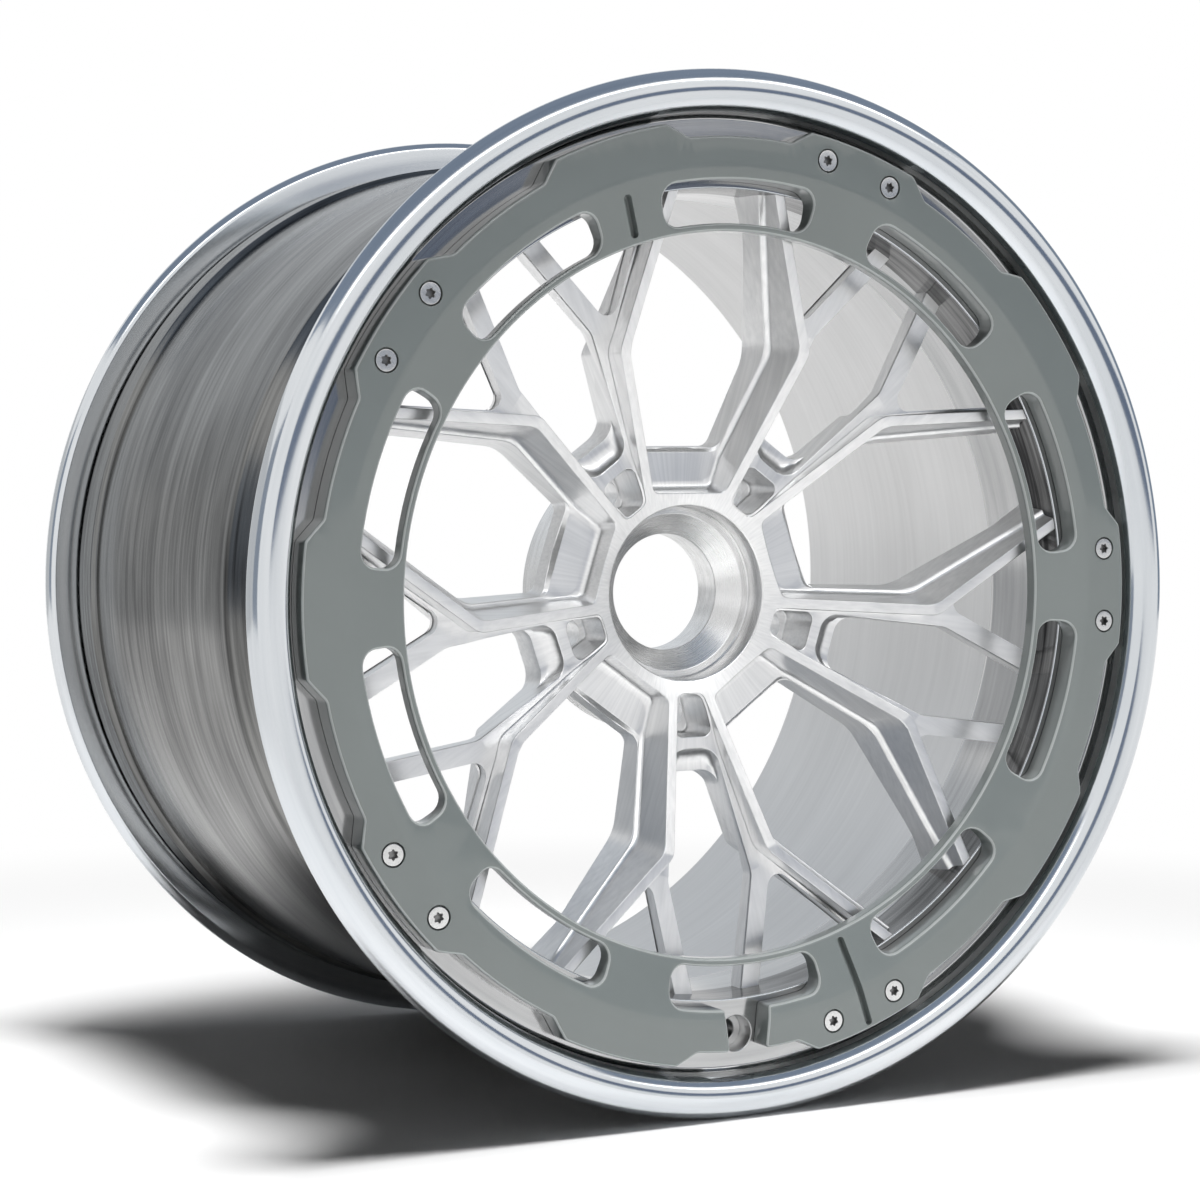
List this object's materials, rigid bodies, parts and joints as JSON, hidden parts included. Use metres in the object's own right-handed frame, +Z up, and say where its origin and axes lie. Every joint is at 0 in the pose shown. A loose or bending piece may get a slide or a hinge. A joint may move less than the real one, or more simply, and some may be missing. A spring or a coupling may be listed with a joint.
{
  "type": "car wheel",
  "caption": "One-piece forged centre-lock car wheel with forked stepped spokes, a wide barrel with a polished lip, and a slotted painted ring held to its face by countersunk screws.",
  "frame": {"origin": "on the wheel axis, in the plane of the hub's mounting face", "axes": "Y along the wheel axis with the outboard face towards -Y, Z up, X to the right seen from outboard"},
  "size_m": [0.5474, 0.3548, 0.5472],
  "materials": {
    "forged_aluminium": "machined and polished",
    "ring_paint": "gloss paint",
    "screw_steel": "bright"
  },
  "bodies": {
    "root": {"forged_wheel": "forged_aluminium", "cover_ring": "ring_paint", "ring_screws": "screw_steel"}
  },
  "joints": []
}
